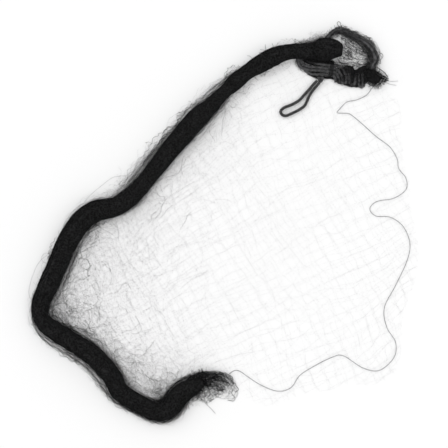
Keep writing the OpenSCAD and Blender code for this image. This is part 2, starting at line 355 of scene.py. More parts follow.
def make_studio():
    """A pale floor under an even white sky, with a little light from the upper left."""
    scene = bpy.context.scene
    scene.view_settings.view_transform = "Standard"
    world = bpy.data.worlds.new("studio")
    world.use_nodes = True
    sky = world.node_tree.nodes["Background"]
    set_inputs(sky, {"Color": (1, 1, 1, 1), "Strength": 0.955})
    scene.world = world
    light = bpy.data.lights.new("key", "SUN")
    light.angle = math.radians(40)
    light.energy = 0.5
    key = bpy.data.objects.new("key", light)
    key.rotation_euler = (math.radians(-30), math.radians(-28), 0)
    scene.collection.objects.link(key)
    floor = bpy.data.meshes.new("floor")
    floor.from_pydata([(-4, -4, 0), (4, -4, 0), (4, 4, 0), (-4, 4, 0)], [], [(0, 1, 2, 3)])
    material = bpy.data.materials.new("pale_floor")
    material.use_nodes = True
    set_inputs(material.node_tree.nodes["Principled BSDF"], {
        "Base Color": (0.94, 0.94, 0.94, 1), "Roughness": 0.9, "Specular IOR Level": 0.1,
    })
    floor.materials.append(material)
    stage = bpy.data.objects.new("floor", floor)
    scene.collection.objects.link(stage)


# ---- Materials ----

def fibre_material(name, dark, light, grain, roughness=0.6, bump=0.4, specular=0.2, sheen=0.0):
    """Spun fibre: grey that wanders between dark and light, with fine ridges across grain mm."""
    material = bpy.data.materials.new(name)
    material.use_nodes = True
    nodes, links = material.node_tree.nodes, material.node_tree.links
    shader = nodes["Principled BSDF"]
    set_inputs(shader, {
        "Specular IOR Level": specular, "Sheen Weight": sheen, "Sheen Roughness": 0.5,
    })
    place = nodes.new("ShaderNodeTexCoord")

    def noise(scale, detail):
        node = nodes.new("ShaderNodeTexNoise")
        set_inputs(node, {"Scale": scale, "Detail": detail})
        links.new(place.outputs["Object"], node.inputs["Vector"])
        return node.outputs["Fac"]

    tone = nodes.new("ShaderNodeValToRGB")
    tone.color_ramp.elements[0].position = 0.4
    tone.color_ramp.elements[0].color = (dark, dark, dark * 1.02, 1)
    tone.color_ramp.elements[1].position = 0.6
    tone.color_ramp.elements[1].color = (light, light, light * 1.03, 1)
    links.new(noise(0.15 / (grain * MM), 3), tone.inputs["Fac"])
    links.new(tone.outputs["Color"], shader.inputs["Base Color"])
    gloss = nodes.new("ShaderNodeMapRange")
    set_inputs(gloss, {"To Min": roughness - 0.1, "To Max": roughness + 0.1})
    fine = noise(1 / (grain * MM), 2)
    links.new(fine, gloss.inputs["Value"])
    links.new(gloss.outputs["Result"], shader.inputs["Roughness"])
    ridges = nodes.new("ShaderNodeBump")
    set_inputs(ridges, {"Strength": bump, "Distance": 0.1 * grain * MM})
    links.new(fine, ridges.inputs["Height"])
    links.new(ridges.outputs["Normal"], shader.inputs["Normal"])
    return material


# ---- Cords ----

def braid(points, diameter):
    """A round braid of eight yarns, four each way, that pass over and under each other."""
    yarns, yarn_r, lift, pitch = 4, 0.15 * diameter, 0.04 * diameter, 2.6 * diameter
    middle_r = 0.36 * diameter
    line = evenly(points, 0.14 * diameter)
    _, side, up = axes(line)
    s = lengths(line)
    stacks = [tubes(line[::3], 0.3 * diameter, 8)]
    for way in (1, -1):
        for yarn in range(yarns):
            turn = way * 2 * PI * s / pitch + 2 * PI * yarn / yarns
            reach = middle_r + way * lift * np.cos(yarns * 2 * PI * s / pitch)
            offset = side * np.cos(turn)[:, None] + up * np.sin(turn)[:, None]
            stacks.append(tubes(line + offset * reach[:, None], yarn_r, 6))
    return line, stacks


def twist(points, diameter, plies=3):
    """A twisted string: a tube with the grooves between its plies."""
    sides, pitch = 4 * plies, 3.5 * diameter
    line = evenly(points, 0.5 * diameter)
    rings = tubes(line, 1, sides)
    turn = 2 * PI * (np.arange(sides) / sides - (lengths(line) / pitch)[:, None])
    reach = diameter / 2 * (0.77 + 0.12 * np.cos(plies * turn))
    return line, [line[None, :, None] + (rings - line[None, :, None]) * reach[None, ..., None]]


def new_cord(name, make, points, diameter, material, body, node):
    """A cord that is held at both ends, made in place of its CAD node: make is braid or twist."""
    line, stacks = make(points, diameter)
    piece = new_mesh(name, stacks, material, body, [node])
    return piece


def make_cords(cord_grey, hank_grey, string_grey):
    """The drawn-out shelf string, the long pole loop, and the cords of the hank."""
    new_cord("edge_string_cord", twist, EDGE_STRING, STRING_D, string_grey, "net",
             "edge_string")
    new_cord("pole_loop_cord", braid, POLE_LOOP, CORD_D, cord_grey, "loop",
             "pole_loop")
    for i, points in enumerate(HANK_CORDS, 1):
        new_cord(f"hank_cord_{i}", braid, points, CORD_D, hank_grey, "net",
                 f"hank_strand_{i}")
    for i, points in enumerate(FOLDED_LOOPS, 1):
        new_cord(f"folded_cord_{i}", braid, points, CORD_D, hank_grey, "net",
                 f"folded_loop_{i}")


def make_small_threads(net_grey, string_grey):
    """The short loops and ends of thread, each too short to count as a free cord."""
    loop_d, end_d = 0.6 * LOOP_THREAD_D, 0.6 * STRING_D
    for name, node, points in (
        ("apex_thread_loop", "apex_loop", APEX_THREAD),
        ("side_thread_loop", "side_loop", SIDE_THREAD),
    ):
        new_mesh(name, twist(points, loop_d, plies=2)[1], net_grey,
                 stands_for=[node])
    ends = [twist(points, end_d)[1][0] for points in TUFT_THREADS]
    new_mesh("tuft_thread_ends", ends, string_grey, stands_for=["tuft_ends"])
    new_mesh("tail_thread_end", twist(TAIL_THREAD, end_d)[1], string_grey,
             stands_for=["tail_end"])


def make_whipping(net_black):
    """A few slanting turns of string round the hank, in one piece."""
    turns, first_x, last_x, middle_y = 3.5, 130.4, 135, 190.7
    slant, half_width, half_height, string_d = 1.8, 8.3, 2.5, 0.9

    def boxed(wave):
        """A wave with fuller tops, which makes a round-cornered box of a circle."""
        return np.sign(wave) * np.abs(wave) ** 0.62

    t = np.linspace(0, 1, int(turns * 48))
    turn = 2 * PI * turns * t
    line = np.stack([
        first_x + (last_x - first_x) * t + slant * np.cos(turn),
        middle_y + half_width * boxed(np.cos(turn)),
        WHIPPED_Z + half_height * boxed(np.sin(turn)),
    ], -1)
    new_mesh("whipping_string", twist(line[::3], string_d)[1], net_black,
             stands_for=["hank_whipping"])


def make_knot(cord_grey):
    """The knot that the pole loop swings on: the cord passes round itself three times."""
    half_height, cord_r = 1.5, 1.5
    t = np.linspace(0, 2 * PI, 60, endpoint=False)
    trefoil = np.stack([
        np.sin(t) + 2 * np.sin(2 * t), np.cos(t) - 2 * np.cos(2 * t),
        -half_height * np.sin(3 * t),
    ], -1)
    line = np.array(KNOT) + trefoil
    closed = np.concatenate([line, line[:1]])
    stacks = [tubes(evenly(closed, 0.5), cord_r, 12)]
    new_mesh("pole_loop_knot", stacks, cord_grey, "knot", ["loop_knot"])


# ---- The gathered rope ----

def beside(route, u):
    """A rope's own numbers at u, with flat unit vectors ahead and towards its inner side."""
    at = along(route, u)
    before, after = np.maximum(u - 0.1, 0), np.minimum(u + 0.1, len(route) - 1)
    ahead = unit((along(route, after) - along(route, before))[..., :2])
    return at, ahead, np.stack([-ahead[..., 1], ahead[..., 0]], -1)


def place_on(route, u, angle, share):
    """A point of the rope: angle from its inner side, and share of the way out."""
    at, _, side = beside(route, u)
    half = at[..., 2]
    flat = at[..., :2] + side * (half * share * np.cos(angle))[..., None]
    lift = 2 * half * ROPE_HEIGHT * ((1 + share * np.sin(angle)) / 2 - ROPE_SINK)
    return np.concatenate([flat, (PANEL_T + np.maximum(lift, 0.05))[..., None]], -1)


def solid_share(route, u, angle):
    """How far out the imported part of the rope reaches."""
    inner, outer = np.moveaxis(along(route, u)[..., 3:], -1, 0)
    towards = np.maximum(np.cos(angle), 0) ** 1.3
    away = np.maximum(-np.cos(angle), 0) ** 1.3
    return 1 - (1 - inner) * towards - (1 - outer) * away


# Waves round and along the rope: how many times each goes round, its length along the rope, and
# the phase of a pleat or the depth of a lump
PLEATS = [(3, 310, 0.4), (7, 210, 2.1), (11, 150, 4.0), (19, 95, 1.2)]
LUMPS = [
    (1, 47, 0.018), (2, 29, 0.016), (1, 83, 0.02), (3, 17, 0.02), (2, 9.7, 0.016),
    (5, 6.1, 0.012),
]


def pleat(angle, s):
    """The folds of the gathered mesh, grooves that wander round the rope, and its lumps."""
    wave = sum(np.cos(k * angle + 2 * PI * s / length + phase) for k, length, phase in PLEATS)
    lumps = sum(size * np.cos(k * angle + 2 * PI * s / length) for k, length, size in LUMPS)
    return 1 - 0.1 * np.exp(-(wave / 0.45) ** 2) + 0.015 * np.sin(wave * 3) + lumps


def distance_at(route):
    """The length along a route up to u, as a function of u."""
    u = np.linspace(0, len(route) - 1, 20 * len(route))
    s = lengths(along(route, u)[:, :2])
    return lambda at: np.interp(at, u, s)


def stations(route, first, last, step):
    """Places u along a stretch of a route, about step apart, and their distances along it."""
    s = distance_at(route)
    u = np.linspace(first, last, max(4, int((s(last) - s(first)) / step)))
    return u, s(u)


def ragged(route, first, last, count, step, rng, lap=0.3):
    """The same for each of a number of threads, which end unevenly a little past the stretch."""
    middle, _ = stations(route, first, last, step)
    over = rng.uniform(0, lap, (2, count, 1))
    start, end = np.maximum(first - over[0], 0), np.minimum(last + over[1], len(route) - 1)
    u = start + (end - start) * (middle - first) / (last - first)
    return u, distance_at(route)(u)


def rope_core(route, first, last, sides=72, step=2.0, lap=0.12):
    """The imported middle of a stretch. Its ends tuck in under the stretches beside it."""
    u, s = stations(route, max(first - lap, 0), min(last + lap, len(route) - 1), step)
    beyond = np.maximum(np.maximum(first - u, u - last), 0) / lap
    u, s = u[:, None], s[:, None]
    angle = (2 * PI * np.arange(sides) / sides)[None]
    share = solid_share(route, u, angle) * pleat(angle, s) * (0.985 - 0.05 * beyond[:, None])
    return place_on(route, u + 0 * angle, angle + 0 * u, share)[None]


def bundled_threads(route, first, last, count, bundles, seed, radius, step=3.0, cell=15.0):
    """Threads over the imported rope. They run in bundles and zigzag from knot to knot, as a
    mesh that is drawn shut."""
    rng = np.random.default_rng(seed)
    u, s = ragged(route, first, last, count, step, rng)
    bundle = rng.integers(0, bundles, count)
    middle = rng.uniform(-0.3 * PI, 1.3 * PI, bundles)
    swing = rng.uniform(0.03, 0.2, bundles)
    wave = rng.uniform(60, 220, bundles)
    phase = rng.uniform(0, 2 * PI, bundles)
    own = rng.uniform(0, 2 * PI, (count, 1))
    height = rng.uniform(0, 1, (count, 1)) ** 2
    turn = 2 * PI * s / wave[bundle, None] + phase[bundle, None]
    together = middle[bundle, None] + swing[bundle, None] * np.sin(turn)
    zigzag = np.abs((s / cell + own / PI) % 2 - 1) - 0.5
    angle = together + rng.normal(0, 0.05, (count, 1)) + 0.1 * zigzag + 0.02 * np.sin(s / 9 + own)
    share = solid_share(route, u, angle) * pleat(angle, s) * (0.985 + 0.05 * height)
    knots = 1 + 0.7 * (np.abs(zigzag) > 0.42)
    return tubes(place_on(route, u, angle, share), radius * knots)


def edge_threads(route, first, last, count, seed, radius, step=3.0):
    """Loose threads at both sides of the rope, in threes that wander in and out."""
    rng = np.random.default_rng(seed)
    u, s = ragged(route, first, last, count, step, rng)
    at, _, side = beside(route, u)
    bundle = np.arange(count) // 3
    way = np.where(bundle % 2, 1, -1)[:, None]
    solid = np.where(way > 0, at[..., 3], at[..., 4])
    out = rng.beta(0.8, 2.2, count)[bundle, None] + rng.normal(0, 0.14, (count, 1))
    wave = rng.uniform(8, 50, (2, count))[:, bundle, None]
    phase = rng.uniform(0, 2 * PI, (2, count))[:, bundle, None]
    phase = phase + rng.normal(0, 0.7, (2, count, 1))
    sway = np.sin(2 * PI * s / wave[0] + phase[0])
    share = solid - 0.06 + (1 - solid + 0.06) * np.abs(out + 0.22 * sway)
    rise = rng.uniform(0.05, 0.72, count)[bundle, None] * (1 - 0.55 * np.clip(out, 0, 1))
    rise = rise + 0.05 * np.sin(2 * PI * s / wave[1] + phase[1])
    flat = at[..., :2] + side * (way * share * at[..., 2])[..., None]
    z = PANEL_T + 2 * ROPE_HEIGHT * at[..., 2] * np.maximum(rise, 0.02)
    return hairs(np.concatenate([flat, z[..., None]], -1), radius, seed)


def wisps(route, first, last, side, reach, count, seed, cling=0.5):
    """Threads that leave the rope on one side (1 inner, -1 outer), bow out and come back.
    cling is the least share in which they follow the rope round its bends."""
    rng = np.random.default_rng(seed)
    t = np.linspace(0, 1, 26)
    start = rng.uniform(first, last, (count, 1))
    span = rng.uniform(0.5, 2.2, (count, 1)) * rng.choice([-1, 1], (count, 1))
    at, ahead, inner = beside(route, np.clip(start + span * t, 0, len(route) - 1))
    edge = at[..., :2] + side * inner * at[..., 2:3] * 0.95
    chord = edge[:, :1] + (edge[:, -1:] - edge[:, :1]) * t[:, None]
    follow = rng.uniform(cling, 1, (count, 1, 1))
    away = side * unit(inner.mean(axis=1, keepdims=True))
    bow = reach * rng.beta(1, 2.6, (count, 1))
    phase = rng.uniform(0, 2 * PI, (count, 3, 1))
    turns = rng.uniform(2, 7, (count, 2, 1))
    curl = 0.1 * bow + 0.7
    out = bow * np.sin(PI * t) ** 0.8 + curl * np.sin(2 * PI * turns[:, 0] * t + phase[:, 0])
    slide = ahead * (curl * np.sin(2 * PI * turns[:, 1] * t + phase[:, 1]))[..., None]
    flat = edge * follow + chord * (1 - follow) + away * out[..., None] + slide
    rise = rng.uniform(0.5, 5, (count, 1)) * (1 - 0.8 * np.sin(PI * t))
    z = 0.4 + rise + 0.3 * np.sin(9 * t + phase[:, 2])
    return np.concatenate([flat, np.maximum(z, 0.2)[..., None]], -1)


def make_rope(net_black):
    """The gathered rope, one piece for each stretch of it."""
    for name, first, last in STRETCHES:
        stacks = [
            rope_core(ROPE, first, last),
            bundled_threads(ROPE, first, last, count=400, bundles=90, seed=7, radius=0.13),
            edge_threads(ROPE, first, last, count=105, seed=8, radius=0.05),
        ]
        new_mesh(f"gathered_{name}", stacks, net_black,
                 stands_for=[f"gather_{name}"])


# ---- Loose net ----

def warp(points, seed, coarse, fine, scale=1.0):
    """A smooth sideways shift of flat points, so that the squares of a mesh lie uneven."""
    rng = np.random.default_rng(seed)
    moved = points.copy()
    for size, shift in ((260, coarse), (140, coarse * 0.6), (52, fine), (23, fine * 0.5)):
        for axis in (0, 1):
            turn, phase = rng.uniform(0, 2 * PI, 2)
            wave = points[..., 0] * math.cos(turn) + points[..., 1] * math.sin(turn)
            moved[..., axis] += shift * np.sin(2 * PI * wave / (size * scale) + phase)
    return moved


def runs_inside(line, outline, shortest=4):
    """The stretches of a line that lie inside an outline."""
    kept = inside(line[:, :2], outline)
    ends = np.flatnonzero(np.diff(np.concatenate([[0], kept.astype(int), [0]])))
    return [line[first:last] for first, last in ends.reshape(-1, 2) if last - first >= shortest]


def mesh_layer(outlines, middle, angle, cell, reach, radius, seed, z, coarse, fine, scale=1.0):
    """One layer of square mesh: threads both ways, each clipped to one of the outlines, and
    the knots inside the first outline. coarse, fine and scale are as in warp()."""
    rng = np.random.default_rng(seed)
    lean_x, lean_y = math.cos(angle), math.sin(angle)
    t = np.arange(-reach, reach, cell / 6)
    lines = np.arange(-int(reach / cell), int(reach / cell) + 1) * cell
    shift = rng.uniform(0, cell, 2)

    def lay(a, b):
        a, b = a + shift[0], b + shift[1]
        flat = np.stack([a * lean_x - b * lean_y, a * lean_y + b * lean_x], -1)
        return warp(flat + middle, seed, coarse, fine, scale)

    stacks = []
    for way in (0, 1):
        ripple = z + 0.12 * np.sin(t / cell * PI + way * PI)
        for at in lines:
            flat = lay(t, np.full_like(t, at)) if way else lay(np.full_like(t, at), t)
            line = np.concatenate([flat, ripple[:, None]], -1)
            outline = outlines[rng.integers(0, len(outlines))]
            stacks += [tubes(run, radius) for run in runs_inside(line, outline)]
    a, b = np.meshgrid(lines, lines)
    nodes = lay(a.ravel(), b.ravel())
    nodes = nodes[inside(nodes, outlines[0])]
    turn = rng.uniform(0, PI, len(nodes))
    ahead = np.stack([np.cos(turn), np.sin(turn), 0 * turn], -1)
    at = np.concatenate([nodes, np.full((len(nodes), 1), z)], -1)
    spread = np.array([-3.2, -1.2, 1.2, 3.2]) * radius
    knots = at[:, None] + ahead[:, None] * spread[:, None]
    stacks.append(tubes(knots, radius * np.array([0.5, 2.2, 2.2, 0.5]), 4))
    return stacks


def curls(starts, heading, length, bend, step, seed, z_low, z_high):
    """Curly threads from each start, which wander about their headings. bend is how much they
    turn at each step, in radians."""
    rng = np.random.default_rng(seed)
    count, n = len(starts), max(6, int(length / step))
    wobble = np.cumsum(rng.normal(0, bend, (count, n)), axis=1)
    swing = rng.uniform(-0.5, 0.5, (count, 1)) * np.linspace(0, 2.5, n)
    turn = heading[:, None] + wobble + swing
    reach = step * rng.uniform(0.4, 1.0, (count, 1))
    path = np.cumsum(np.stack([np.cos(turn), np.sin(turn)], -1) * reach[..., None], axis=1)
    phase = rng.uniform(0, 2 * PI, (count, 1))
    z = z_low + (z_high - z_low) * (0.5 + 0.5 * np.sin(np.arange(n) * 0.35 + phase))
    return np.concatenate([starts[:, None] + path, z[..., None]], -1)


def strewn(route, first, last, side, reach, count, length, spread, seed):
    """Short curly threads beside the rope, fewer and fewer away from it."""
    rng = np.random.default_rng(seed)
    u = rng.uniform(first, last, count)
    at, ahead, inner = beside(route, u)
    swell = np.sin(PI * (u - first) / (last - first)) ** 0.7
    away = at[:, 2] * 0.85 + reach * swell * rng.beta(0.9, 2.2, count)
    heading = np.arctan2(ahead[:, 1], ahead[:, 0]) + rng.normal(0, spread, count)
    starts = at[:, :2] + side * inner * away[:, None]
    turned = heading + PI * rng.integers(0, 2, count)
    return curls(starts, turned, length, 0.25, 1.8, seed, 0.25, 1.4)


def tangle(route, first, last, count, length, seed, bend, z_high):
    """Curly threads that lie all over a band of net, across its whole width."""
    rng = np.random.default_rng(seed)
    at, ahead, inner = beside(route, rng.uniform(first, last, count))
    heading = np.arctan2(ahead[:, 1], ahead[:, 0]) + rng.normal(0, 0.6, count)
    starts = at[:, :2] + inner * (at[:, 2] * rng.uniform(-1, 1, count))[:, None]
    return curls(starts, heading, length, bend, 1.2, seed, 0.5, z_high)


def net_outline():
    """The outline of the spread net: the middle of the rope, then the free edge."""
    rope_side = along(ROPE, np.linspace(4, ROPE_LAST, 120))[:, :2]
    edge = along(PANEL_EDGE, np.linspace(0, len(PANEL_EDGE) - 1, 120))
    return np.concatenate([rope_side, edge])


def make_spread_mesh(mesh_grey):
    """The spread net: three layers of square mesh that lie on each other."""
    outline = net_outline()
    layers = [(0.50, 3, 0.25), (0.58, 4, 0.4), (0.42, 5, 0.55)]
    for i, (angle, seed, z) in enumerate(layers, 1):
        stacks = mesh_layer([outline], (10, -10), angle, MESH_CELL, 330, 0.025, seed, z,
                            coarse=8, fine=2)
        new_mesh(f"spread_mesh_{i}", stacks, mesh_grey,
                 stands_for=["spread_panel"] if i == 1 else ())


# The far edge of the slack net, and the shares of the way there at which its threads end
SLACK_EDGE = np.array([
    (-5, -195), (-20, -130), (-20, -60), (-15, 0), (-5, 50), (15, 100), (35, 150),
], float)
SLACK_SHARES = (0.3, 0.4, 0.5, 0.65, 0.8, 1.0, 1.4, 1.9)


def make_slack_mesh(mesh_grey):
    """The slack net inside the rope: crumpled mesh that thins out away from the rope."""
    bend = along(ROPE, np.linspace(9, 34.5, 90))[:, :2]
    start = bend[::-1][np.linspace(0, len(bend) - 1, len(SLACK_EDGE)).astype(int)]
    outlines = [
        np.concatenate([bend, start + (SLACK_EDGE - start) * share]) for share in SLACK_SHARES
    ]
    stacks = []
    for seed, angle, cell in ((30, 0.2, 9), (31, 0.75, 10), (32, 1.2, 11)):
        stacks += mesh_layer(outlines[:6], (-60, -10), angle, cell, 300, 0.036, seed, 0.7,
                             coarse=6, fine=2, scale=0.5)
    for seed, angle, cell in ((33, 0.52, 7.5), (36, 0.6, 6)):
        stacks += mesh_layer(outlines, (-60, -10), angle, cell, 300, 0.032, seed, 0.6,
                             coarse=8, fine=1)
    new_mesh("slack_mesh", stacks, mesh_grey)


def make_slack_threads(net_grey):
    """Threads that curl over the slack net. The rows hold first, last, reach, count, length,
    spread and seed, as strewn() takes them."""
    rows = [
        (11, 35, 120, 240, 44, 1.3, 34), (19, 34, 75, 240, 40, 1.3, 35),
        (22, 29, 50, 170, 30, 1.3, 36), (26, 34.5, 50, 260, 30, 1.3, 37),
        (4, 20, 12, 120, 18, 0.8, 38),
    ]
    outline = net_outline()
    stacks = []
    for seed, (first, last, *numbers) in enumerate(rows, 39):
        lines = strewn(ROPE, first, last, 1, *numbers)
        kept = inside(lines, outline).all(axis=1)
        stacks.append(hairs(lines[kept], 0.045, seed, 2.6))
    new_mesh("slack_threads", stacks, net_grey)


def make_wisps(net_grey):
    """Threads that stand off the rope. The rows hold first, last, side, reach and count, then
    how far a bowed thread clings to the rope, or how long a strewn one is."""
    bowed = [
        (13.5, 18.6, -1, 17, 90, 0.2), (10, 16.5, -1, 12, 60, 0.6), (19, 24, -1, 5, 40, 0.9),
        (22, 25.5, -1, 11, 14, 0.9), (2.7, 5, -1, 9, 60, 0.8), (5, 12, -1, 3, 40, 0.8),
        (26, 31, -1, 7, 60, 0.8), (28.5, 31, -1, 9, 24, 0.3), (31, 35, -1, 7, 60, 0.8),
        (12, 19, 1, 5, 60, 0.8), (19, 24, 1, 8, 70, 0.8), (25.5, 32, 1, 9, 90, 0.7),
        (21, 27, 1, 40, 22, 0.8), (26, 32.5, 1, 40, 34, 0.6), (32.5, 35.8, 1, 7, 110, 0.7),
    ]
    strewn_about = [
        (14.5, 18.4, -1, 18, 110, 20), (12.5, 16, -1, 8, 60, 16), (2.6, 4.8, -1, 13, 270, 11),
        (27, 32, -1, 7, 90, 12), (32.5, 36, 1, 7, 150, 9), (33.5, 35.5, -1, 16, 170, 10),
        (5, 36, -1, 3.5, 240, 8), (5, 36, 1, 3, 260, 8),
    ]
    stacks = []
    for seed, (*span, cling) in enumerate(bowed, 40):
        stacks.append(hairs(wisps(ROPE, *span, seed, cling), 0.055, seed))
    for seed, row in enumerate(strewn_about, 55):
        stacks.append(hairs(strewn(ROPE, *row, 0.6, seed), 0.05, seed))
    new_mesh("rope_wisps", stacks, net_grey)


def heap_edge(outline):
    """The smooth edge of a heap of net, and its middle."""
    edge = smooth_outline(outline)
    return edge, edge.mean(axis=0)


def mound(outline, height, seed, rough):
    """A lumpy closed heap over an outline. rough is how uneven its edge is."""
    rng = np.random.default_rng(seed)
    edge, middle = heap_edge(outline)
    t = np.linspace(0, 1, 14)
    scale = np.concatenate([[0.80], 0.9 * np.cos(t * PI / 2) ** 0.6 + 0.02])
    z = np.concatenate([[0], height * np.sin(t * PI / 2) ** 0.8 * 0.92 + 0.3])
    turn = np.linspace(0, 2 * PI, len(edge), endpoint=False)
    phase = rng.uniform(0, 2 * PI, 5)
    climb = 3 * z[:, None] / height
    lumps = sum(
        np.cos(k * turn[None] + climb + p) for k, p in zip((3, 5, 8, 13, 21), phase)
    )
    spread = scale[:, None] * (1 + 0.02 * rough * lumps)
    flat = middle + (edge - middle)[None] * spread[..., None]
    tall = PANEL_T + z[:, None] * (1 + 0.08 * lumps)
    return np.concatenate([flat, tall[..., None]], -1)[None]


def shrunk(outline, share):
    """The outline, drawn in towards its middle."""
    edge = np.asarray(outline, float)
    return edge.mean(axis=0) + (edge - edge.mean(axis=0)) * share


def heap_threads(outline, height, count, seed, length, spill=1.0, bend=0.6):
    """Curly threads over a heap, highest in its middle. spill is how far out they may reach,
    where 1 is the outline."""
    rng = np.random.default_rng(seed)
    edge, middle = heap_edge(outline)
    spokes = edge - middle
    chosen = spokes[rng.integers(0, len(edge), count)]
    starts = middle + chosen * rng.uniform(0.1, 0.95, (count, 1))
    lines = curls(starts, rng.uniform(0, 2 * PI, count), length, bend, 1.4, seed, 0, 1)
    away = lines[..., :2] - middle
    reach = np.interp(
        np.arctan2(away[..., 1], away[..., 0]), np.arctan2(spokes[:, 1], spokes[:, 0]),
        np.linalg.norm(spokes, axis=1), period=2 * PI,
    )
    far = np.linalg.norm(away, axis=-1) / reach
    limit = spill * (1 + 0.12 * rng.uniform(-1, 1, (count, 1)))
    lines[..., :2] = middle + away * (np.minimum(far, limit) / np.maximum(far, 1e-6))[..., None]
    lines[..., 2] += PANEL_T + 0.3 + height * np.sqrt(np.clip(1 - (far / 1.12) ** 2, 0.02, 1))
    return lines


def frayed(outline, count, seed, heading, spread, length, z_high):
    """Short threads that stick out of the edge of a heap, about one heading."""
    rng = np.random.default_rng(seed)
    edge, middle = heap_edge(outline)
    out = unit(edge - middle)
    facing = np.flatnonzero(out @ (math.cos(heading), math.sin(heading)) > 0.3)
    at = rng.choice(facing, count)
    starts = middle + (edge[at] - middle) * rng.uniform(0.7, 1, (count, 1))
    turned = np.arctan2(out[at, 1], out[at, 0]) + rng.normal(0, spread, count)
    return curls(starts, turned, length, 0.2, 1.2, seed, 0.4, z_high)


def fold(points, count, seed, radius, spread, z_low, z_high):
    """A fold of net: threads that run side by side along a route and wander over each other."""
    rng = np.random.default_rng(seed)
    line = evenly(np.asarray(points, float), 1.2)
    s = lengths(line)
    ahead = unit(np.gradient(line, axis=0))
    side = np.stack([-ahead[:, 1], ahead[:, 0]], -1)
    wave = rng.uniform(8, 30, (count, 2, 1))
    phase = rng.uniform(0, 2 * PI, (count, 2, 1))
    sway = 0.6 * spread * np.sin(2 * PI * s / wave[:, 0] + phase[:, 0])
    across = rng.normal(0, spread, (count, 1)) + sway
    z = z_low + (z_high - z_low) * (0.5 + 0.5 * np.sin(2 * PI * s / wave[:, 1] + phase[:, 1]))
    flat = line + side * across[..., None]
    return hairs(np.concatenate([flat, z[..., None]], -1), radius, seed, 2)


def make_hoop(soft_grey):
    """The loose band of net that arches over the head of the rope."""
    last, fold_r = len(HOOP) - 1, 0.13
    middle = HOOP[:, :2]
    stacks = [
        rope_core(HOOP, 0, last, 40, 1.5),
        fold(middle[:8], 44, 60, fold_r, 1.3, 0.6, 5),
        fold(middle[5:], 70, 61, fold_r, 2.2, 0.6, 8),
        fold(middle[8:], 44, 64, fold_r, 2.9, 0.6, 8),
        edge_threads(HOOP, 0, last, count=45, seed=65, radius=0.08, step=1.6),
        hairs(tangle(HOOP, 0.5, last, 150, 8, 68, bend=0.7, z_high=9), 0.24, 69, 1.5),
        hairs(wisps(HOOP, 0.5, last - 0.5, -1, 7, 130, 62), 0.05, 66, 2.4),
        hairs(wisps(HOOP, 4.5, last - 2, 1, 6, 60, 63), 0.07, 67),
    ]
    new_mesh("hoop_net", stacks, soft_grey, stands_for=["hoop"])


def make_veil(net_grey):
    """The thin net across the hoop: small crumpled mesh, and folds that lie across it."""
    outline = smooth_outline(VEIL_EDGE)
    stacks = []
    for i, (angle, cell) in enumerate(((-0.85, 4.5), (-0.6, 5.5), (0.2, 7))):
        stacks += mesh_layer([outline], (160, 210), angle, cell, 40, 0.09, 70 + i, 0.9 + 0.4 * i,
                             coarse=2, fine=1.3, scale=0.28)
    for seed, points in enumerate(VEIL_FOLDS, 75):
        stacks.append(fold(points, 4, seed, 0.16, 1.5, 1, 3.5))
    crumpled = heap_threads(VEIL_EDGE, 1.5, 85, 80, 9, bend=0.7)
    stacks.append(hairs(crumpled, 0.27, 81, 1.5))
    new_mesh("veil_net", stacks, net_grey, stands_for=["veil"])


def make_cluster(net_black):
    """The knotted heap of net under the hoop, and the tuft that it ends in."""
    stacks = [
        mound(ROOT_EDGE, 2.5, 81, rough=2),
        mound(LOW_EDGE, 2, 78, rough=2),
        hairs(heap_threads(LOW_EDGE, 4.4, 55, 79, 8, spill=1.04), 0.22, 98, 1.6),
        hairs(heap_threads(ROOT_EDGE, 5, 80, 82, 10), 0.24, 99, 1.6),
        hairs(frayed(ROOT_EDGE, 40, 86, PI / 2, 0.8, 6, 3), 0.12, 100),
    ]
    new_mesh("tuft_root_net", stacks, net_black, stands_for=["tuft_root"])
    stacks = [
        mound(shrunk(TUFT_EDGE, 0.78), 8, 83, rough=2.5),
        hairs(heap_threads(TUFT_EDGE, 8.5, 330, 84, 12), 0.15, 101),
        hairs(frayed(TUFT_EDGE, 110, 85, -0.5, 0.7, 8, 5), 0.11, 102),
        hairs(frayed(TUFT_EDGE, 60, 103, PI / 2, 0.9, 6, 5), 0.12, 104),
    ]
    new_mesh("end_tuft_net", stacks, net_black, stands_for=["end_tuft"])


# The folds of net that hold the hank together: count, seed, radius, spread, and the lowest and
# the highest that a thread goes, then the route
HANK_FOLDS = [
    (60, 87, 0.16, 1.7, 0.6, 3, [
        (93, 207), (92, 200), (97, 194.5), (106, 191.5), (118, 190), (132, 190), (140, 186),
        (143, 177),
    ]),
    (60, 88, 0.16, 2.0, 0.6, 4, [
        (98, 208), (104, 202), (114, 199), (126, 198), (136, 197), (146, 192), (149, 178),
    ]),
    (40, 89, 0.16, 0.8, 0.6, 4, [
        (108, 188), (113, 187), (122, 185.9), (131, 185), (138, 183), (141, 177),
    ]),
    (46, 109, 0.17, 1.1, 0.4, 1.2, [
        (104, 187.5), (110, 184.5), (116, 182.6), (124, 181.8), (132, 182), (139, 180),
    ]),
    (60, 110, 0.17, 1.1, 2, 6, [
        (98, 206), (104, 203.4), (112, 202), (124, 201.4), (136, 199.4),
    ]),
    (40, 90, 0.16, 1.2, 0.6, 3, [(155, 186), (157, 177), (159.5, 177), (162, 186)]),
    (40, 92, 0.16, 1.6, 0.6, 4, [(166, 186), (167, 176), (171, 172), (174, 182)]),
]


def make_hank_strands(net_black):
    """The folds of net along and between the cords of the hank."""
    stacks = [fold(points, *numbers) for *numbers, points in HANK_FOLDS]
    new_mesh("hank_strands", stacks, net_black)


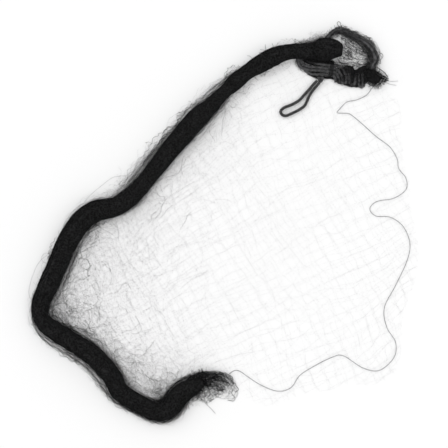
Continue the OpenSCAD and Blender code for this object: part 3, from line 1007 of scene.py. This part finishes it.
# The tail's guides, with the height in the third place, and its outlines
FAN_TOP = [
    (-50, -198, 16), (-36, -188, 13), (-20, -185, 10), (-5, -185.5, 8), (7, -191, 6),
    (14, -199, 4), (17, -211, 2.5), (12, -222, 1.5), (-2, -222, 1),
]
FAN_BOTTOM = [
    (-50, -212, 14), (-36, -205, 11), (-24, -203.5, 8), (-15, -205, 6), (-10, -208, 5),
    (-10, -212, 4), (-14, -214, 3), (-19, -212, 2), (-23, -209, 1.5),
]
TAIL_RIM = [
    (-66, -216), (-58, -203), (-50, -194), (-40, -188), (-28, -186), (-16, -186), (-4, -189),
    (2, -195), (-10, -204), (-30, -212), (-56, -222),
]
LOBE_EDGE = [
    (-46, -206), (-22, -203), (-8, -206), (-2, -212), (-8, -217), (-15, -221), (-23, -225.5),
    (-32, -222), (-44, -223), (-50, -216),
]


def fan(top, bottom, count, seed, radius, shortest, longest, gather):
    """Threads that spread out between two guides and end between the places shortest and
    longest along them. The higher gather is, the closer they keep to the top one."""
    rng = np.random.default_rng(seed)
    across = rng.beta(1, gather, (count, 1))
    u = np.linspace(0, 1, 60) * rng.uniform(shortest, longest, (count, 1))
    phase = rng.uniform(0, 2 * PI, (count, 4, 1))
    weave = np.abs(across + 0.16 * np.sin(1.8 * u + phase[:, 0]) * np.minimum(u / 3, 1))
    lines = along(top, u) * (1 - weave[..., None]) + along(bottom, u) * weave[..., None]
    turns = rng.uniform(3, 13, (count, 2, 1))
    lines[..., 0] += 1.1 * np.sin(turns[:, 0] * u + phase[:, 1])
    lines[..., 1] += 1.1 * np.sin(turns[:, 1] * u + phase[:, 2])
    lines[..., 2] *= rng.uniform(0.2, 1, (count, 1)) ** 0.7
    lines[..., 2] = np.maximum(lines[..., 2], 0.3)
    return hairs(lines, radius, seed, 2.4)


def make_tail(net_black):
    """The loose end of the rope, where its threads fan out and curl under."""
    stacks = [
        fan(FAN_TOP, FAN_BOTTOM, 95, 91, 0.16, 1.6, 3.9, 1),
        fan(FAN_TOP, FAN_BOTTOM, 38, 92, 0.16, 3, 5.5, 1.1),
        fan(FAN_TOP, FAN_BOTTOM, 24, 93, 0.13, 4.5, 8, 1.2),
        hairs(heap_threads(LOBE_EDGE, 1.5, 60, 97, 9), 0.2, 98, 1.6),
        hairs(tangle(ROPE, 34.2, 36, 60, 10, 105, bend=0.4, z_high=9), 0.22, 106, 1.5),
        hairs(frayed(TAIL_RIM, 90, 107, PI / 2, 0.7, 7, 9), 0.16, 108, 1.8),
    ]
    outline = smooth_outline(LOBE_EDGE)
    for seed, angle, cell in ((94, 0.4, 4), (95, 1.0, 5), (96, 0.1, 6)):
        stacks += mesh_layer([outline], (-18, -212), angle, cell, 40, 0.1, seed, 1.5,
                             coarse=2, fine=1.2, scale=0.25)
    new_mesh("tail_fan_net", stacks, net_black, stands_for=["tail_fan"])


# Single threads that stand out, and the thicker ones along the hank's edge
STRAYS = [
    [(-15, 127, 2), (-22, 117, 1), (-27, 110, 1), (-33, 104, 1), (-41, 103, 3)],
    [(-18, 124, 2), (-25, 114, 1.5), (-30, 108, 1), (-36, 105, 1), (-43, 102, 3)],
    [(-50, 84, 4), (-53, 80, 2), (-55, 68, 1), (-60, 61, 1), (-75, 57, 3)],
    [(-209, -94, 3), (-205, -99, 1), (-199, -102, 1), (-193, -104, 1), (-188, -107, 1)],
    [(-187, -107, 1), (-183, -116, 1), (-184, -125, 1), (-188, -131, 3)],
    [(-178, -99, 1), (-172, -101, 1), (-164, -103, 1), (-155, -108, 1), (-148, -112, 1)],
    [(-202, -4, 4), (-198, 4, 1), (-190, 15, 1), (-180, 23, 1), (-172, 26, 4)],
    [(-243, -95, 2), (-245, -84, 1), (-240, -65, 1), (-233, -50, 1), (-222, -40, 4)],
    [(-222, -50, 4), (-228, -48, 1), (-229, -42, 1), (-225, -38, 1), (-218, -38, 4)],
    [
        (-176, 26, 4), (-168, 35, 1), (-160, 42, 1), (-150, 50, 1), (-140, 57, 1),
        (-125, 59, 1), (-112, 56, 3),
    ],
    [(13, 188, 6), (10, 191, 3), (8, 195, 2), (9, 196, 2), (13, 191, 5)],
    [(140, 204, 2), (142, 209, 3), (147, 208, 3), (149, 204, 3), (146, 200, 3), (141, 202, 2)],
    [(148, 203, 2), (151, 206, 3), (155, 203, 3), (152, 199, 3), (148, 203, 2)],
]
HANK_EDGE_LINES = [
    [(131, 205, 7), (134, 202, 7), (138, 198.6, 6.4), (142, 195.4, 5)],
    [(98, 210, 8), (98, 205.5, 6.4), (102, 201.6, 5.4), (108, 199.6, 5), (116, 199.4, 5)],
    [(189, 194, 5), (195, 190.5, 4), (200, 186.5, 3), (203, 182, 2)],
]


def make_strays(net_grey):
    """The threads that are laid one by one."""
    thin_r, thick_r = 0.1, 0.4
    stacks = [tubes(evenly(points, 1.5), thin_r, 5) for points in STRAYS]
    stacks += [tubes(evenly(points, 1), thick_r, 6) for points in HANK_EDGE_LINES]
    new_mesh("stray_threads", stacks, net_grey)


def dress_shelf_strings(string_grey):
    """The strings inside the rope keep their CAD shape and get the string's material."""
    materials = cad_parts["shelf_strings"].data.materials
    materials.clear()
    materials.append(string_grey)


# ---- The scene ----

make_camera()
cord_grey = fibre_material("loop_cord_braid", 0.018, 0.05, 0.5, roughness=0.62, bump=0.6,
                           specular=0.3, sheen=0.2)
hank_grey = fibre_material("hank_cord_braid", 0.03, 0.085, 0.5, roughness=0.62, bump=0.6,
                           specular=0.3, sheen=0.2)
string_grey = fibre_material("shelf_string_twist", 0.15, 0.29, 0.3, bump=0.5, specular=0.3)
make_cords(cord_grey, hank_grey, string_grey)
net_black = fibre_material("gathered_net_fibre", 0.002, 0.021, 0.3, specular=0.12)
net_grey = fibre_material("loose_net_fibre", 0.012, 0.03, 0.35)
soft_grey = fibre_material("hoop_net_fibre", 0.03, 0.09, 0.5)
mesh_grey = fibre_material("spread_mesh_thread", 0.12, 0.22, 0.5, roughness=0.65, bump=0.3)
make_studio()
make_small_threads(net_grey, string_grey)
make_whipping(net_black)
make_knot(cord_grey)
make_rope(net_black)
make_spread_mesh(mesh_grey)
make_slack_mesh(mesh_grey)
make_slack_threads(net_grey)
make_wisps(net_grey)
make_hoop(soft_grey)
make_veil(net_grey)
make_cluster(net_black)
make_hank_strands(net_black)
make_tail(net_black)
make_strays(net_grey)
dress_shelf_strings(string_grey)
